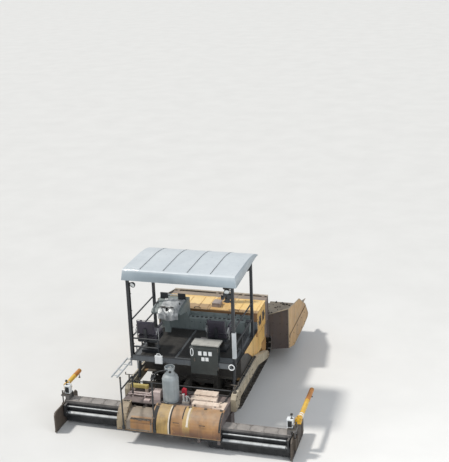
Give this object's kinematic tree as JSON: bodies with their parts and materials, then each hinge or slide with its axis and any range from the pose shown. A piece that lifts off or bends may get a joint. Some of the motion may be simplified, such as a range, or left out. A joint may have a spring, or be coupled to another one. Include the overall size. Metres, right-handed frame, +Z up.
{
  "type": "asphalt paver",
  "caption": "Tracked asphalt paver with a tipping-wing hopper, bar conveyors, augers and a sliding screed towed on two arms.",
  "frame": {"origin": "on the ground under the middle of the machine's overall box", "axes": "+Y forward, towards the hopper; +X to the machine's right; +Z up"},
  "size_m": [5.6, 6.9844, 3.6],
  "materials": {
    "frame_grey": "dusty dark grey enamel",
    "steel_worn": "worn bare steel",
    "rubber": "dusty black rubber",
    "body_yellow": "faded yellow enamel",
    "canopy_white": "pale grey enamel",
    "post_dark": "dark grey enamel",
    "chrome": "hard chrome plating",
    "seat_vinyl": "dark vinyl",
    "bottle_grey": "grey enamel",
    "box_pale": "pale enamel, dusty",
    "arm_dusty": "enamel under asphalt dust",
    "exhaust_steel": "heat browned steel"
  },
  "bodies": {
    "tractor": {"main_frame": "frame_grey", "track_left": "rubber", "track_right": "rubber", "track_frames": "frame_grey", "track_wheels": "steel_worn", "hopper_floor": "steel_worn", "hopper_wall": "steel_worn", "conveyor": "steel_worn", "lower_body": "frame_grey", "side_covers": "body_yellow", "engine": "exhaust_steel", "hood_body": "body_yellow", "exhaust": "exhaust_steel", "platform": "post_dark", "console": "post_dark", "rear_box": "post_dark", "seat_bases": "frame_grey", "seat_pads": "seat_vinyl", "canopy_posts": "post_dark", "canopy_roof": "canopy_white", "handrails": "post_dark", "steps": "steel_worn", "auger_drive": "frame_grey"},
    "push_beam": {"push_beam": "frame_grey"},
    "push_roller_left": {"push_roller_left": "steel_worn"},
    "push_roller_right": {"push_roller_right": "steel_worn"},
    "wing_left": {"wing_left": "body_yellow"},
    "wing_right": {"wing_right": "body_yellow"},
    "wing_barrel_left": {"wing_barrel_left": "post_dark"},
    "wing_barrel_right": {"wing_barrel_right": "post_dark"},
    "wing_rod_left": {"wing_rod_left": "chrome"},
    "wing_rod_right": {"wing_rod_right": "chrome"},
    "hood_lid_left": {"hood_lid_left": "body_yellow"},
    "hood_lid_right": {"hood_lid_right": "body_yellow"},
    "auger_left": {"auger_left": "steel_worn"},
    "auger_right": {"auger_right": "steel_worn"},
    "lift_barrel_left": {"lift_barrel_left": "post_dark"},
    "lift_barrel_right": {"lift_barrel_right": "post_dark"},
    "lift_rod_left": {"lift_rod_left": "chrome"},
    "lift_rod_right": {"lift_rod_right": "chrome"},
    "screed": {"tow_arms": "arm_dusty", "screed_frame": "frame_grey", "screed_covers": "body_yellow", "screed_rails": "post_dark", "gas_bottle": "bottle_grey", "deck_boxes": "box_pale"},
    "extension_left": {"extension_left": "frame_grey"},
    "extension_right": {"extension_right": "frame_grey"},
    "end_gate_left": {"end_gate_left": "body_yellow"},
    "end_gate_right": {"end_gate_right": "body_yellow"}
  },
  "joints": [
    {"name": "push_beam_swing", "type": "hinge", "parent": "tractor", "child": "push_beam", "pos_m": [0, 3.10215, 0.5], "axis": [0, 0, 1], "range_deg": [-4, 4]},
    {"name": "push_roller_left_spin", "type": "hinge", "parent": "push_beam", "child": "push_roller_left", "pos_m": [-0.375, 3.40715, 0.5], "axis": [1, 0, 0], "continuous": true},
    {"name": "push_roller_right_spin", "type": "hinge", "parent": "push_beam", "child": "push_roller_right", "pos_m": [0.375, 3.40715, 0.5], "axis": [1, 0, 0], "continuous": true},
    {"name": "wing_left_lift", "type": "hinge", "parent": "tractor", "child": "wing_left", "pos_m": [-0.68, 1.82715, 0.838], "axis": [0, 1, 0], "range_deg": [0, 50]},
    {"name": "wing_barrel_left_turn", "type": "hinge", "parent": "tractor", "child": "wing_barrel_left", "pos_m": [-0.675, 1.82715, 0.47], "axis": [0, 1, 0], "range_deg": [0, 35.83]},
    {"name": "wing_rod_left_slide", "type": "slide", "parent": "wing_barrel_left", "child": "wing_rod_left", "axis": [-0.9071, 0, 0.4209], "range_m": [0, 0.2416]},
    {"name": "wing_right_lift", "type": "hinge", "parent": "tractor", "child": "wing_right", "pos_m": [0.68, 1.82715, 0.838], "axis": [0, -1, 0], "range_deg": [0, 50]},
    {"name": "wing_barrel_right_turn", "type": "hinge", "parent": "tractor", "child": "wing_barrel_right", "pos_m": [0.675, 1.82715, 0.47], "axis": [0, -1, 0], "range_deg": [0, 35.83]},
    {"name": "wing_rod_right_slide", "type": "slide", "parent": "wing_barrel_right", "child": "wing_rod_right", "axis": [0.9071, 0, 0.4209], "range_m": [0, 0.2416]},
    {"name": "hood_lid_left_open", "type": "hinge", "parent": "tractor", "child": "hood_lid_left", "pos_m": [-0.07, 0.74315, 1.91], "axis": [-1, 0, 0], "range_deg": [0, 70]},
    {"name": "hood_lid_right_open", "type": "hinge", "parent": "tractor", "child": "hood_lid_right", "pos_m": [0.59, 0.74315, 1.91], "axis": [-1, 0, 0], "range_deg": [0, 70]},
    {"name": "auger_left_spin", "type": "hinge", "parent": "tractor", "child": "auger_left", "pos_m": [-0.6, -2.07285, 0.33], "axis": [1, 0, 0], "continuous": true},
    {"name": "auger_right_spin", "type": "hinge", "parent": "tractor", "child": "auger_right", "pos_m": [0.6, -2.07285, 0.33], "axis": [1, 0, 0], "continuous": true},
    {"name": "screed_lift", "type": "hinge", "parent": "tractor", "child": "screed", "pos_m": [0, 0.32715, 0.56], "axis": [-1, 0, 0], "range_deg": [0, 6]},
    {"name": "lift_barrel_left_turn", "type": "hinge", "parent": "tractor", "child": "lift_barrel_left", "pos_m": [-1.108, -2.02285, 1.39], "axis": [-1, 0, 0], "range_deg": [0, 5.09]},
    {"name": "lift_rod_left_slide", "type": "slide", "parent": "lift_barrel_left", "child": "lift_rod_left", "axis": [0, 0.2454, 0.9694], "range_m": [0, 0.2626]},
    {"name": "lift_barrel_right_turn", "type": "hinge", "parent": "tractor", "child": "lift_barrel_right", "pos_m": [1.108, -2.02285, 1.39], "axis": [-1, 0, 0], "range_deg": [0, 5.09]},
    {"name": "lift_rod_right_slide", "type": "slide", "parent": "lift_barrel_right", "child": "lift_rod_right", "axis": [0, 0.2454, 0.9694], "range_m": [0, 0.2626]},
    {"name": "extension_left_slide", "type": "slide", "parent": "screed", "child": "extension_left", "axis": [-1, 0, 0], "range_m": [-1.35, 0.2]},
    {"name": "end_gate_left_float", "type": "slide", "parent": "extension_left", "child": "end_gate_left", "axis": [0, 0, 1], "range_m": [-0.02, 0.06]},
    {"name": "extension_right_slide", "type": "slide", "parent": "screed", "child": "extension_right", "axis": [1, 0, 0], "range_m": [-1.35, 0.2]},
    {"name": "end_gate_right_float", "type": "slide", "parent": "extension_right", "child": "end_gate_right", "axis": [0, 0, 1], "range_m": [-0.02, 0.06]}
  ],
  "couplings": [
    {"joint": "wing_barrel_left_turn", "follows": "wing_left_lift", "ratio": 0.70662},
    {"joint": "wing_rod_left_slide", "follows": "wing_left_lift", "m_per_rad": 0.27451},
    {"joint": "lift_barrel_left_turn", "follows": "screed_lift", "ratio": 0.79916},
    {"joint": "lift_rod_left_slide", "follows": "screed_lift", "m_per_rad": 2.4883},
    {"joint": "wing_barrel_right_turn", "follows": "wing_right_lift", "ratio": 0.70662},
    {"joint": "wing_rod_right_slide", "follows": "wing_right_lift", "m_per_rad": 0.27451},
    {"joint": "lift_barrel_right_turn", "follows": "screed_lift", "ratio": 0.79916},
    {"joint": "lift_rod_right_slide", "follows": "screed_lift", "m_per_rad": 2.4883}
  ]
}
